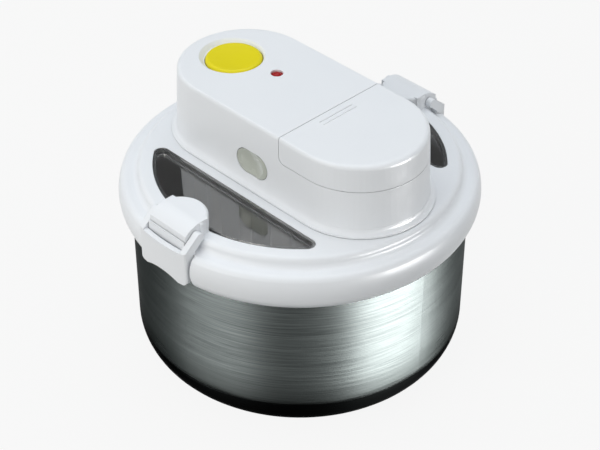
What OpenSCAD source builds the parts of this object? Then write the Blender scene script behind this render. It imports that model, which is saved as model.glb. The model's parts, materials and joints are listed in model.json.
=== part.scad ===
// Battery ice cream maker: a steel bowl, a clipped lid with two windows,
// and a lift-off motor unit that turns a paddle through a hexagon drive.
// Millimetres. The origin is on the table under the bowl's centre.
// +X points to the battery end, the clips are at -Y (front) and +Y (rear).

/* [Bowl] */
// Outer radius of the bowl's wall
bowl_r = 93.4; // [88:0.1:100]
// Height from the table to the top of the rolled rim
bowl_h = 106; // [92:0.5:125]
// Thickness of the steel sheet
steel_t = 0.9; // [0.6:0.1:1.3]
// Outer radius of the corner between wall and base
bowl_corner = 23; // [14:1:30]
// How far the middle of the base is pushed up
base_kick = 1.6; // [0.6:0.1:3]
// Width of the ring that the bowl stands on
foot_w = 8; // [4:1:14]
// Radius of the rolled bead
bead_r = 1.5; // [1:0.1:1.8]
// How far the neck under the bead steps in
neck_depth = 2.2; // [1.6:0.1:3]
// Height of the neck under the bead
neck_h = 8; // [6:0.5:12]

/* [Lid] */
// How far the lid's ring stands out past the bowl's wall
ring_overhang = 6.6; // [5:0.1:10]
// Radius of the ring's bulging outer face
ring_bulge = 16.5; // [13:0.5:22]
// Radius of the rounded edge on top of the ring
ring_round = 4; // [2.5:0.5:5]
// How far the ring hangs below its widest line
ring_drop = 12; // [9:0.5:14]
// Height of the ring's top above its widest line
ring_rise = 9.2; // [8:0.1:11]
// Height of the deck above the ring's widest line
deck_rise = 15; // [14:0.1:18]
// How far the deck's edge lies inside the ring's widest line
deck_inset = 11; // [9:0.5:14]
// Radius of the hollow between ring and deck
cove_r = 3; // [2:0.5:4]
// Thickness of the deck
lid_wall = 2.5; // [2:0.1:3.5]
// Thickness of the skirt that plugs into the bowl
plug_t = 2.4; // [1.6:0.1:3]
// How far the plug skirt reaches below the rim
plug_depth = 7; // [4:0.5:9]
// Radial clearance between bowl and lid
lid_clear = 0.5; // [0.3:0.1:1]
// Thickness of the rubber gasket
gasket_t = 3.4; // [2:0.1:4.5]

/* [Windows] */
// Distance from the centre to the windows' straight edge
window_y = 46.2; // [44.5:0.1:52]
// Radius of the windows' curved edge
window_r = 80.7; // [70:0.1:82]
// Radius of the windows' corners
window_corner = 4.5; // [3:0.1:7]
// Depth of the pane below the deck
window_sink = 3; // [2:0.1:4]
// Thickness of the clear moulding
window_t = 1.5; // [1:0.1:2]
// Width of the ledge that carries the window
window_ledge = 1.6; // [1:0.1:2.5]

/* [Clips] */
// Half width of the bracket's round end
bracket_r = 15; // [12:0.5:18]
// How far the middle of the round end lies inside the ring's edge
bracket_inset = 13; // [11:0.5:15]
// Height of the bracket above the deck
bracket_h = 8.5; // [6:0.5:11]
// Radius of the bracket's top edge
bracket_round = 2; // [1:0.1:3]
// Radius of the hinge pins
pin_r = 1.25; // [1:0.05:1.5]
// How far the hinge pins lie inside the ring's edge
hinge_inset = 11; // [10:0.1:11.5]
// Height of the hinge pins above the deck
hinge_rise = 2.6; // [2.2:0.1:4]
// Width of a hook's arm
arm_w = 3.8; // [3.6:0.1:5]
// Radius of the eye at an arm's end
eye_r = 2.7; // [2.4:0.1:3]
// Thickness of the hook's plate
hook_t = 3; // [2:0.1:3.2]
// Height of the hook's plate
hook_h = 20; // [16:0.5:24]
// How far the hook stands out past the ring
hook_proud = 1.2; // [0.4:0.1:2]
// How far the hook's lower edge is hollowed
hook_sag = 2.8; // [1:0.1:3.5]
// Rounding of the hook's upright edges
hook_edge = 1.4; // [0.8:0.1:1.8]
// Rounding of the hook's lower corners
hook_toe = 3; // [2:0.1:4]
// How far the bracket's top slopes down towards the hook
bracket_slope = 4.2; // [3:0.1:5]
// Height of the step under the bracket's front edge
bracket_step = 3.2; // [2:0.1:4]

/* [Motor unit] */
// Half width of the motor unit's body at its foot
unit_w = 37.7; // [35:0.1:40]
// Half length of the motor unit's body at its foot
unit_e = 82.9; // [78:0.1:84]
// Height of the motor unit
unit_h = 42; // [41:0.1:48]
// How much narrower each side is at the top
side_taper = 0.3; // [0:0.1:1]
// How much shorter each end is at the top
end_taper = 2.4; // [0:0.1:4]
// Height of the rounded top edge
edge_h = 2.6; // [1.5:0.1:4]
// Rounding of the long top edges
side_round = 1.2; // [0.5:0.1:2]
// Rounding of the top edge round the ends
end_round = 3.4; // [1:0.1:5]
// Radius of the flare at the foot
flare_r = 3; // [2:0.1:4]
// Thickness of the lip under the flare
lip_t = 0.9; // [0.6:0.1:1.5]
// Wall of the housing and of the battery cover
shell_t = 2.2; // [1.6:0.1:2.6]
// Gap between the motor unit and the lid
seat_gap = 0.3; // [0.2:0.05:0.6]
// Thickness of the base plate
base_t = 2.3; // [1.8:0.1:3]

/* [Battery cover] */
// Place of the cover's edge along the motor unit
cover_x = 22.5; // [20:0.5:24]
// Height of the cover's side
cover_h = 15; // [12:0.5:17]
// Radius of the cover's lower corners
cover_corner = 4; // [2:0.5:6]
// Gap round the cover
cover_gap = 0.3; // [0.2:0.05:0.5]
// Width of the cover's finger ridges
ridge_l = 24; // [16:1:30]

/* [Start button] */
// Place of the button along the motor unit
button_x = -52; // [-53:0.5:-50]
// Radius of the button
button_r = 16; // [14:0.1:16.4]
// Rounding of the button's shoulder
button_round = 2.2; // [1:0.1:2.4]
// Depth of the finger dish in the button
button_dish = 0.6; // [0.3:0.1:0.9]
// Travel of the button
button_travel = 1.5; // [1:0.1:1.8]
// Depth of the recess round the button
recess_depth = 2.4; // [1.8:0.1:2.8]
// How far the recess flares out round the button
recess_flare = 2.2; // [1.6:0.1:2.6]
// How far the recess is shifted towards the end of the unit
recess_shift = 1.4; // [0:0.1:1.5]
// Radius of the lamp's lens
lens_r = 3.5; // [3:0.1:3.6]
// Depth of the lens below the housing's top
lens_sink = 1.3; // [1:0.1:1.5]

/* [Release buttons] */
// Place of the release buttons along the motor unit
release_x = 2; // [0:0.5:4]
// Height of the release buttons above the deck
release_z = 15.5; // [14.5:0.5:17]
// Length of a release button
release_l = 23; // [18:0.5:25]
// Height of a release button
release_h = 14.5; // [11:0.5:15]
// Travel of a release button
release_travel = 2; // [1.5:0.1:2.2]
// How far a catch hooks under the deck
catch_bite = 1.6; // [1:0.1:1.8]

/* [Drive] */
// Module of all the gears
gear_m = 0.8; // [0.75:0.01:0.82]
// Teeth of the large wheels
wheel_teeth = 40; // [36:1:42]
// Teeth of the pinions
pinion_teeth = 10; // [9:1:11]
// Thickness of a wheel
wheel_t = 2.5; // [2:0.1:2.8]
// Play between meshing teeth
backlash = 0.16; // [0.1:0.01:0.25]
// Radius of the gear axles
axle_r = 1; // [0.8:0.05:1.3]
// Radius of the output shaft in its bush
output_r = 4; // [3.6:0.1:4.4]
// Width across the flats of the hexagon that enters the drive hub
hex_af = 7; // [6:0.1:7.4]
// Radius of the drive hub in its bush
hub_r = 6; // [5.6:0.1:6.5]
// Radius of the motor
motor_r = 12.2; // [10:0.1:12.5]
// Length of the motor
motor_l = 17.6; // [15:0.1:17.8]

/* [Batteries] */
// Diameter of a cell
cell_d = 14.5; // [13.5:0.1:14.5]
// Length of a cell with its contact
cell_l = 50.5; // [48:0.1:50.5]
// Place of the middle of the battery bay
bay_x = 41.2; // [41:0.1:43]

/* [Paddle] */
// Thickness of the paddle's frame
paddle_t = 3.4; // [2.4:0.1:5]
// Width of the paddle's bars
paddle_bar = 11; // [8:0.5:14]
// Clearance between the paddle and the bowl's neck
paddle_clear = 1.2; // [0.8:0.1:3]
// Tilt of the paddle's vanes
vane_tilt = 35; // [15:1:50]

/* [Hidden] */
$fn = 96;

eps = 0.02;            // overlap that joins or cuts cleanly
run_gap = 0.05;        // radial clearance of a running shaft
press_gap = 0.01;      // radial clearance of a pressed pin
face_gap = 0.1;        // clearance between faces that slide or turn
part_gap = 0.3;        // clearance between neighbouring mouldings
screw_r = 1.3;         // shank of the small screws
screw_head_r = 2.5;    // head of the small screws
screw_head_h = 1.2;

white = [0.93, 0.94, 0.96];
steel = [0.72, 0.73, 0.72];
yellow = [0.88, 0.83, 0.15];
brass = [0.8, 0.65, 0.35];
natural = [0.9, 0.88, 0.8];

// Bowl
neck_r = bowl_r - neck_depth;
neck_in_r = neck_r - steel_t;
bead_z = bowl_h - bead_r;
neck_z = bowl_h - neck_h;
foot_r = bowl_r - bowl_corner;
kick_r = foot_r - foot_w;
floor_z = base_kick + steel_t;

// Lid
lid_r = bowl_r + ring_overhang;
ring_in_r = bowl_r + lid_clear;
ring_lip_t = 0.9;
seal_gap = 0.15;
rim_rise = 1;          // the bowl's rim above the ring's widest line
ring_z = bowl_h - rim_rise;
ring_low_z = ring_z - ring_drop;
ring_top_z = ring_z + ring_rise;
deck_z = ring_z + deck_rise;
deck_under_z = deck_z - lid_wall;
land_z = bowl_h + seal_gap + gasket_t;
deck_r = lid_r - deck_inset;
plug_r = neck_in_r - lid_clear - part_gap;
plug_in_r = plug_r - plug_t;
plug_z = bowl_h - plug_depth;
bulge_x = lid_r - ring_bulge;
round_z = ring_rise - ring_round;
round_x = bulge_x + sqrt(pow(ring_bulge - ring_round, 2) - pow(round_z, 2));

// Windows
pane_z = deck_z - window_sink;
window_low_z = pane_z - window_t;
well_t = 2;
well_z = window_low_z - window_t;
window_gap = 0.2;

// Clips
bracket_y = lid_r - bracket_inset;
hinge_y = lid_r - hinge_inset;
hinge_z = deck_z + hinge_rise;
bracket_top_z = deck_z + bracket_h;
block_y = hinge_y - eye_r - 0.6;
neck_w = bracket_r - 1.1;
neck_y = hinge_y + 7.6;
neck_edge_y = neck_y - 1.2;
slope_y = bracket_y - 3;
bar_top_z = bracket_top_z - bracket_slope - bracket_step;
arm_x = neck_w + 0.3;
hook_w = arm_x + arm_w;
hook_r = lid_r + hook_proud;
hook_in_r = hook_r - hook_t;
hook_top_z = ring_z + 11.5;
hook_low_z = hook_top_z - hook_h;
notch_w = hook_w + 1.1;
notch_y = hinge_y + 4.6;
lip_reach = 0.4;
spring_w = 8;
spring_t = 0.8;
spring_lip_z = bead_z - bead_r - 0.4;
spring_tip_y = neck_r + lip_reach;
hook_spring_y = sqrt(hook_in_r * hook_in_r - spring_w * spring_w);

// Motor unit
seat_z = deck_z + seat_gap;
unit_s = unit_e - unit_w;
unit_top_z = deck_z + unit_h;
crease_z = unit_top_z - edge_h;
cavity_w = unit_w - shell_t;
base_top_z = seat_z + base_t;
base_w = cavity_w - part_gap;
cover_z = unit_top_z - cover_h;
boss_x = 70;
boss_y = 20;
boss_r = 3.6;
boss_h = 16;

// Drive: layer a is next to the base plate, layer c next to the gear plate
wheel_r = gear_m * wheel_teeth / 2;
centre_d = gear_m * (wheel_teeth + pinion_teeth) / 2;
layer_gap = 0.8;
layer_a = base_top_z + layer_gap;
layer_b = layer_a + wheel_t + layer_gap;
layer_c = layer_b + wheel_t + layer_gap;
plate_z = layer_c + wheel_t + layer_gap;
plate_t = 1.6;
plate_top_z = plate_z + plate_t;
second_angle = 154;
first_angle = 206;
motor_angle = 270;
second_at = centre_d * [cos(second_angle), sin(second_angle)];
first_at = second_at + centre_d * [cos(first_angle), sin(first_angle)];
motor_at = first_at + centre_d * [cos(motor_angle), sin(motor_angle)];
spindle_r = 2.2;
boss_gap = 0.3;
hub_top_z = deck_z - 0.5;
hub_flange_t = 1.1;
hub_flange_r = hub_r + 3;
bush_t = 2;
bush_flange_t = 1.1;
bush_z = hub_top_z - hub_flange_t - face_gap - bush_flange_t;
boss_low_z = deck_under_z - 13;
seal_t = 2.4;
hub_low_z = boss_low_z - 4;
socket_h = 9;
hex_gap = 0.15;
stub_af = 9;
stub_h = 9;
hex_h = socket_h - 0.8;
motor_z = plate_top_z;

// Circuit board, button and lamp
board_z = plate_top_z + 11.4;
board_t = 1.6;
board_top_z = board_z + board_t;
switch_h = 3.6;
plunger_h = 1;
button_z = unit_top_z - 0.1;
button_gap = 0.3;
collar_z = unit_top_z - recess_depth - 2.4;
flange_t = 1.4;
button_low_z = collar_z - part_gap - flange_t;
lamp_x = -23;
lamp_y = 5;
lamp_r = 1.5;
lens_t = 1.2;
lens_z = unit_top_z - lens_sink - lens_t;
post_r = 2.4;
board_posts = [[-50, 10.5], [-20, 10.5], [-20, -3.5]];
plate_posts = [[14, -16], [14, 16], [-50, 18], [-50, -27], [-18, -18]];

// Release buttons
release_mid_z = deck_z + release_z;
release_flange_t = 1.8;
release_in_y = cavity_w - part_gap - release_flange_t;
release_rim = 1.7;
catch_w = 5;
catch_t = 1.9;
catch_y = release_in_y - eps;
catch_top_z = base_top_z + 7.4;
catch_nose_z = deck_under_z - part_gap;
slot_out_y = release_in_y + part_gap;
slot_in_y = release_in_y - catch_t - release_travel - 0.4;
spring_post_y = 22;
spring_post_t = 2;

// Batteries
tray_t = 1.4;
cell_gap = 0.2;
contact_t = 0.4;
contact_spring_l = 2.2;
column_d = cell_d + 1;
row_d = cell_d + cell_gap;
cell_z = base_top_z + tray_t + cell_gap + cell_d / 2;
bay_half_y = (cell_l + contact_spring_l) / 2 + contact_t;
bay_half_x = column_d / 2 + cell_d / 2 + cell_gap;
tray_top_z = cell_z + cell_d;
nub_l = 1;
nub_r = 2.75;

// Paddle
paddle_r = neck_in_r - paddle_clear;
paddle_low_z = floor_z + 1;
paddle_top_z = hub_low_z - 3;
paddle_corner = bowl_corner - 1;

// ---- Shared shapes ----

// Slot with round ends: half width w, half distance s between the centres
module stadium(w, s) {
  square([2 * s, 2 * w], center = true);
  for (side = [-1, 1])
    translate([side * s, 0]) circle(w);
}

module rear() {
  rotate(180) children();
}

function inv(a) = tan(a) * 180 / PI - a;

// Points of one gear tooth's flank, from root to tip
function flank(teeth, side, turn) =
  let (
    pitch = gear_m * teeth / 2,
    base = pitch * cos(25),
    root = pitch - 1.2 * gear_m,
    tip = pitch + 0.92 * gear_m,
    start = max(base, root + 0.1),
    half = 90 / teeth - backlash / 2 / pitch * 90 / PI,
    radii = [root, start, start + (tip - start) * 0.35, start + (tip - start) * 0.7, tip]
  )
  [for (i = [0 : 4])
    let (
      r = side < 0 ? radii[i] : radii[4 - i],
      a = half + inv(25) - inv(acos(min(1, base / max(r, base)))),
      at = turn + side * a
    )
    r * [cos(at), sin(at)]];

// Gear outline with a tooth on the +X axis
module gear_outline(teeth) {
  polygon([for (i = [0 : teeth - 1], side = [-1, 1], p = flank(teeth, side, i * 360 / teeth)) p]);
}

module gear(teeth, thickness, at_angle, gap = false) {
  rotate(at_angle + (gap ? 180 / teeth : 0))
    linear_extrude(thickness) gear_outline(teeth);
}

module hexagon(af, h) {
  cylinder(r = af / 2 / cos(30), h = h, $fn = 6);
}

// Helical spring of round wire, standing on z = 0
module coil_spring(r, wire, h, turns) {
  sides = 6;
  steps = 12;
  n = round(turns * steps);
  rise = h - 2 * wire;
  points = [for (i = [0 : n], j = [0 : sides - 1])
    let (a = i * 360 / steps, b = j * 360 / sides, q = r - wire + wire * cos(b))
    [q * cos(a), q * sin(a), wire + rise * i / n + wire * sin(b)]];
  sides_faces = [for (i = [0 : n - 1], j = [0 : sides - 1])
    let (k = (j + 1) % sides)
    [i * sides + j, (i + 1) * sides + j, (i + 1) * sides + k, i * sides + k]];
  caps = [[for (j = [0 : sides - 1]) j],
    [for (j = [0 : sides - 1]) n * sides + sides - 1 - j]];
  polyhedron(points, concat(sides_faces, caps));
}

module screw(length) {
  translate([0, 0, -screw_head_h]) cylinder(r = screw_head_r, h = screw_head_h);
  translate([0, 0, -eps]) cylinder(r = screw_r, h = length);
}

// ---- Bowl ----

// Section of the bowl, taken in by inset on its outer side
module bowl_section(inset, top_z) {
  translate([foot_r, bowl_corner]) circle(bowl_corner - inset);
  translate([0, inset]) square([foot_r, bowl_corner]);
  polygon([[0, bowl_corner], [bowl_r - inset, bowl_corner], [bowl_r - inset, neck_z],
    [neck_r - inset, neck_z + neck_depth], [neck_r - inset, top_z], [0, top_z]]);
}

// Space under the pushed-up middle of the base
module base_push(low) {
  polygon([[0, low - 5], [kick_r, low - 5], [kick_r, low],
    [kick_r - 3 * base_kick, low + base_kick], [0, low + base_kick]]);
}

module bowl() {
  color(steel)
  rotate_extrude() {
    difference() {
      bowl_section(0, bead_z);
      base_push(0);
      difference() {
        bowl_section(steel_t, bowl_h + 1);
        base_push(steel_t);
      }
    }
    translate([neck_in_r + bead_r - eps, bead_z]) circle(bead_r);
  }
}

// ---- Lid ----

// Outline of the lid seen in section, without its hollow
module lid_form() {
  difference() {
    union() {
      intersection() {
        translate([bulge_x, ring_z]) circle(ring_bulge);
        translate([0, ring_low_z])
          square([lid_r + 1, ring_drop + round_z * ring_bulge / (ring_bulge - ring_round)]);
      }
      translate([round_x, ring_z + round_z]) circle(ring_round);
      translate([0, ring_low_z]) square([ring_in_r + ring_lip_t, ring_drop]);
      translate([0, ring_z]) square([round_x, ring_rise]);
      translate([0, ring_top_z - eps]) square([deck_r + cove_r, cove_r + eps]);
      translate([0, ring_top_z]) square([deck_r - (deck_z - ring_top_z - cove_r), deck_z - ring_top_z]);
      translate([deck_r - (deck_z - ring_top_z - cove_r), ring_top_z + cove_r])
        circle(deck_z - ring_top_z - cove_r);
    }
    translate([deck_r + cove_r, ring_top_z + cove_r]) circle(cove_r);
    translate([deck_r + cove_r, ring_top_z]) square([cove_r, cove_r + 1]);
  }
}

// Window outline taken in by inset; the corners keep their centres
module window_outline(inset) {
  yc = window_y + window_corner;
  xc = sqrt(pow(window_r - window_corner, 2) - pow(yc, 2));
  far = 1.7;
  intersection() {
    circle(window_r - inset);
    polygon([[-xc, window_y + inset], [xc, window_y + inset], [xc, yc],
      [far * xc, far * yc], [-far * xc, far * yc], [-xc, yc]]);
  }
  for (side = [-1, 1])
    translate([side * xc, yc]) circle(window_corner - inset + eps);
}

module lid_notch() {
  translate([-notch_w, notch_y, ring_low_z - 1]) cube([2 * notch_w, 20, 40]);
  translate([-notch_w, plug_r + lid_clear, ring_low_z - 1])
    cube([2 * notch_w, 20, land_z - ring_low_z + 1]);
}

module lid() {
  color(white)
  difference() {
    union() {
      rotate_extrude()
        difference() {
          lid_form();
          translate([0, -1]) square([plug_in_r, deck_under_z + 1]);
          translate([0, -1]) square([ring_in_r, plug_z + 1]);
          translate([plug_r, -1]) square([ring_in_r - plug_r, land_z + 1]);
        }
      // Wells that the windows drop into
      for (turn = [0, 180])
        rotate(turn)
          translate([0, 0, well_z])
            linear_extrude(deck_under_z - well_z + eps) window_outline(-well_t);
      // Boss for the drive hub, with ribs to the skirt
      translate([0, 0, boss_low_z])
        cylinder(r = hub_r + bush_t + 3, h = deck_under_z - boss_low_z + eps);
      translate([0, 0, deck_under_z - 3]) cylinder(r = hub_r + bush_t + 8, h = 3 + eps);
      for (side = [-1, 1], row = [-1, 1])
        translate([side * (plug_in_r + hub_r) / 2, row * 6, deck_under_z - 2.5])
          cube([plug_in_r - hub_r - 1, 1.6, 5], center = true);
    }
    for (turn = [0, 180])
      rotate(turn) {
        translate([0, 0, window_low_z - window_gap])
          linear_extrude(40) window_outline(0);
        translate([0, 0, well_z - 1])
          linear_extrude(40) window_outline(window_ledge);
        lid_notch();
      }
    translate([0, 0, boss_low_z - 1]) cylinder(r = hub_r + bush_t, h = 60);
    translate([0, 0, bush_z]) cylinder(r = hub_r + bush_t + 2, h = 60);
    translate([0, 0, deck_z - 1.2]) cylinder(r = hub_r + bush_t + 6, h = 10);
    for (side = [-1, 1])
      translate([release_x - catch_w - part_gap, side > 0 ? slot_in_y : -slot_out_y, deck_under_z - 1])
        cube([2 * (catch_w + part_gap), slot_out_y - slot_in_y, 10]);
  }
}

module lid_gasket() {
  color([0.75, 0.77, 0.78])
  rotate_extrude()
    difference() {
      translate([plug_r + face_gap, land_z - gasket_t])
        square([ring_in_r - plug_r - 2 * face_gap, gasket_t]);
      translate([plug_r + face_gap - 0.6, land_z - gasket_t / 2]) circle(0.9);
      translate([ring_in_r - face_gap + 0.6, land_z - gasket_t / 2]) circle(0.9);
    }
}

module window_tray() {
  color([0.2, 0.2, 0.2, 0.6])
  difference() {
    translate([0, 0, window_low_z])
      linear_extrude(deck_z - window_gap - window_low_z) window_outline(window_gap);
    translate([0, 0, pane_z])
      linear_extrude(10) window_outline(window_gap + window_t);
  }
}

module front_window() {
  rear() window_tray();
}

module rear_window() {
  window_tray();
}

// ---- Clips, drawn on the rear side ----

// Round-ended block with a rounded top edge and rounded corners by the arms
module bracket_block() {
  r = bracket_r;
  h = bracket_top_z - ring_z;
  corner = 0.9;
  corner_x = neck_w + 0.1;
  difference() {
    translate([0, bracket_y, ring_z])
      rotate_extrude() {
        square([r, h - bracket_round]);
        square([r - bracket_round, h]);
        translate([r - bracket_round, h - bracket_round]) circle(bracket_round);
      }
    translate([-r - 1, block_y, ring_z - 1]) cube([2 * r + 2, 2 * r, h + 2]);
    for (side = [-1, 1])
      translate([0, 0, ring_z - 1])
        linear_extrude(h + 2)
          difference() {
            translate([side > 0 ? corner_x : -corner_x - 3, block_y - corner]) square([3, 3]);
            translate([side * corner_x, block_y - corner]) circle(corner);
          }
  }
}

// Section of the bracket's neck between the hook's arms, with its bar
module bracket_neck_outline() {
  back_y = bracket_y - bracket_r / 2;
  translate([back_y, ring_z]) square([neck_edge_y - back_y, bracket_top_z - ring_z]);
  translate([back_y, ring_z]) square([neck_edge_y + 0.4 - back_y, bar_top_z - 0.6 - ring_z]);
  translate([neck_edge_y + 0.4, ring_z])
    square([neck_y - neck_edge_y - 0.4, bar_top_z - ring_z]);
}

// Space over the bracket's top, which slopes down to its front edge
module bracket_slope_outline() {
  run = neck_edge_y - slope_y;
  slope_r = (run * run + bracket_slope * bracket_slope) / (2 * bracket_slope);
  difference() {
    translate([slope_y, bracket_top_z - bracket_slope - 0.5])
      square([run + 20, bracket_slope + 5]);
    translate([slope_y, bracket_top_z - slope_r + eps]) circle(slope_r, $fn = 200);
    translate([neck_edge_y - 1, ring_z]) square([30, bar_top_z + 1 - ring_z]);
  }
}

module bracket() {
  color(white)
  difference() {
    union() {
      bracket_block();
      translate([-neck_w, 0, 0]) rotate([90, 0, 90])
        linear_extrude(2 * neck_w) bracket_neck_outline();
    }
    translate([-30, 0, 0]) rotate([90, 0, 90]) linear_extrude(60) bracket_slope_outline();
    rotate_extrude() lid_form();
    translate([-30, hinge_y, hinge_z]) rotate([0, 90, 0]) cylinder(r = pin_r + press_gap, h = 60);
  }
}

module hinge_pin() {
  color(steel)
  translate([-arm_x - 2.6, hinge_y, hinge_z]) rotate([0, 90, 0])
    cylinder(r = pin_r, h = 2 * arm_x + 5.2);
}

// Side view of a hook's arm: eye, sloping arm and rounded shoulder
module arm_outline() {
  shoulder_r = 4.5;
  eye = [hinge_y, hinge_z];
  shoulder = [hook_r - shoulder_r, hook_top_z - 2.6];
  span = shoulder - eye;
  slope = atan2(span[1], span[0]);
  lean = acos((eye_r - shoulder_r) / norm(span));
  up = [cos(slope + lean), sin(slope + lean)];
  translate(eye) circle(eye_r);
  translate(shoulder) circle(shoulder_r);
  polygon([eye - 0.9 * eye_r * up, eye, eye + (eye_r - eps) * up,
    shoulder + (shoulder_r - eps) * up, shoulder, [hook_in_r - 3, hook_top_z - 2.8]]);
}

// Plan of a hook, solid back to the middle of the lid, with rounded outer edges
module hook_plan() {
  x = hook_w - hook_edge;
  y = sqrt(pow(hook_r - hook_edge, 2) - x * x);
  intersection() {
    circle(hook_r, $fn = 200);
    polygon([[0, 0], [1.5 * x, 1.5 * y], [-1.5 * x, 1.5 * y]]);
  }
  for (side = [-1, 1])
    translate([side * x, y]) circle(hook_edge + eps);
  translate([-hook_w, 0]) square([2 * hook_w, y]);
}

// Front view of a hook's plate
module hook_front() {
  w = hook_w - 2 * hook_toe;
  sag_r = (w * w + hook_sag * hook_sag) / (2 * hook_sag);
  difference() {
    translate([-hook_w - 1, hook_low_z]) square([2 * hook_w + 2, hook_top_z - hook_low_z]);
    translate([0, hook_low_z + hook_sag - sag_r]) circle(sag_r, $fn = 200);
    for (side = [-1, 1])
      difference() {
        translate([side > 0 ? hook_w - hook_toe : -hook_w - 2, hook_low_z - 1])
          square([hook_toe + 2, hook_toe + 1]);
        translate([side * (hook_w - hook_toe), hook_low_z + hook_toe]) circle(hook_toe + eps);
      }
  }
}

module hook() {
  color(white)
  difference() {
    union() {
      intersection() {
        translate([0, 0, hook_low_z - 5]) linear_extrude(60) hook_plan();
        for (side = [-1, 1])
          translate([side > 0 ? arm_x : -hook_w - 1, 0, 0]) rotate([90, 0, 90])
            linear_extrude(arm_w + 1) arm_outline();
      }
      intersection() {
        translate([0, 0, hook_low_z - 5])
          linear_extrude(60)
            difference() {
              hook_plan();
              circle(hook_in_r, $fn = 200);
            }
        translate([0, 150, 0]) rotate([90, 0, 0]) linear_extrude(100) hook_front();
      }
    }
    translate([-arm_x - 2.8, hinge_y, hinge_z]) rotate([0, 90, 0])
      cylinder(r = pin_r + run_gap, h = 2 * arm_x + 5.6);
    // Clear of the lid's ring behind the shoulders
    translate([-hook_w - 1, 0, hook_low_z - 1])
      cube([2 * hook_w + 2, notch_y + part_gap, ring_top_z + part_gap - hook_low_z + 1]);
  }
}

// Steel leaf on the hook's inner face; its lip snaps under the bead
module hook_spring() {
  color(steel)
  translate([-spring_w, 0, 0]) rotate([90, 0, 90])
    linear_extrude(2 * spring_w) {
      translate([hook_spring_y - spring_t, spring_lip_z - 2.2]) square([spring_t, 9]);
      translate([spring_tip_y, spring_lip_z - spring_t])
        square([hook_spring_y - spring_tip_y - spring_t + eps, spring_t]);
    }
}

module front_bracket() { rear() bracket(); }
module rear_bracket() { bracket(); }
module front_hinge_pin() { rear() hinge_pin(); }
module rear_hinge_pin() { hinge_pin(); }
module front_hook() { rear() hook(); }
module rear_hook() { hook(); }
module front_hook_spring() { rear() hook_spring(); }
module rear_hook_spring() { hook_spring(); }

// ---- Drive hub and paddle ----

module hub_bush() {
  color(natural)
  difference() {
    union() {
      translate([0, 0, boss_low_z + seal_t])
        cylinder(r = hub_r + bush_t - press_gap, h = bush_z - boss_low_z - seal_t + eps);
      translate([0, 0, bush_z]) cylinder(r = hub_r + bush_t + 1.6, h = bush_flange_t);
    }
    translate([0, 0, boss_low_z]) cylinder(r = hub_r + run_gap, h = 40);
  }
}

module shaft_seal() {
  color([0.2, 0.2, 0.22])
  difference() {
    translate([0, 0, boss_low_z + eps])
      cylinder(r = hub_r + bush_t - press_gap, h = seal_t - 2 * eps);
    translate([0, 0, boss_low_z - 1]) cylinder(r = hub_r + run_gap, h = 10);
  }
}

module drive_hub() {
  groove_z = boss_low_z - face_gap - 0.8;
  color(natural)
  difference() {
    union() {
      translate([0, 0, hub_low_z]) cylinder(r = hub_r, h = hub_top_z - hub_low_z);
      translate([0, 0, hub_top_z - hub_flange_t]) cylinder(r = hub_flange_r, h = hub_flange_t);
      translate([0, 0, hub_low_z - stub_h]) hexagon(stub_af, stub_h + eps);
    }
    translate([0, 0, hub_top_z - socket_h]) hexagon(hex_af + 2 * hex_gap, socket_h + 1);
    translate([0, 0, groove_z])
      difference() {
        cylinder(r = hub_r + 1, h = 0.8);
        translate([0, 0, -1]) cylinder(r = hub_r - 0.8, h = 3);
      }
  }
}

// Snap ring in the hub's groove, under the lid's boss
module hub_ring() {
  color(steel)
  translate([0, 0, boss_low_z - face_gap - 0.8 + eps])
    difference() {
      cylinder(r = hub_r + 1.8, h = 0.8 - 2 * eps);
      translate([0, 0, -1]) cylinder(r = hub_r - 0.8 + press_gap, h = 3);
      translate([0, -1.5, -1]) cube([20, 3, 3]);
    }
}

// Frame of the paddle: follows the bowl's wall and corner
module paddle_outline(inset) {
  r = paddle_corner - inset;
  top = 8 - inset / 2;
  for (side = [-1, 1]) {
    translate([side * (paddle_r - paddle_corner), paddle_low_z + paddle_corner]) circle(r);
    translate([side * (paddle_r - inset - top), paddle_top_z - inset - top]) circle(top);
  }
  translate([-(paddle_r - paddle_corner), paddle_low_z + inset])
    square([2 * (paddle_r - paddle_corner), paddle_corner]);
  translate([-(paddle_r - inset), paddle_low_z + paddle_corner])
    square([2 * (paddle_r - inset), paddle_top_z - paddle_low_z - paddle_corner - inset - top]);
  translate([-(paddle_r - inset - top), paddle_top_z - inset - top])
    square([2 * (paddle_r - inset - top), top]);
}

module paddle() {
  hub_h = stub_h + 6;
  post_r1 = 6;
  color(white)
  difference() {
    union() {
      rotate([90, 0, 0]) translate([0, 0, -paddle_t / 2]) linear_extrude(paddle_t)
        difference() {
          paddle_outline(0);
          difference() {
            paddle_outline(paddle_bar);
            translate([-post_r1, 0]) square([2 * post_r1, 200]);
          }
        }
      translate([0, 0, hub_low_z - hub_h]) cylinder(r = hub_r + 2.4, h = hub_h - face_gap);
      translate([0, 0, paddle_low_z]) cylinder(r = post_r1, h = hub_low_z - hub_h - paddle_low_z + eps);
      // Tilted vanes that fold the mixture in
      for (side = [0, 180], at = [0.36, 0.66])
        rotate(side)
          translate([at * paddle_r, 0, (paddle_top_z + paddle_low_z) / 2])
            rotate([0, 0, vane_tilt])
              cube([paddle_bar, 2.4, paddle_top_z - paddle_low_z - paddle_bar], center = true);
    }
    translate([0, 0, hub_low_z - stub_h - 0.4]) hexagon(stub_af + 2 * face_gap, stub_h + 2);
  }
}

// ---- Motor unit's shell ----

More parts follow.
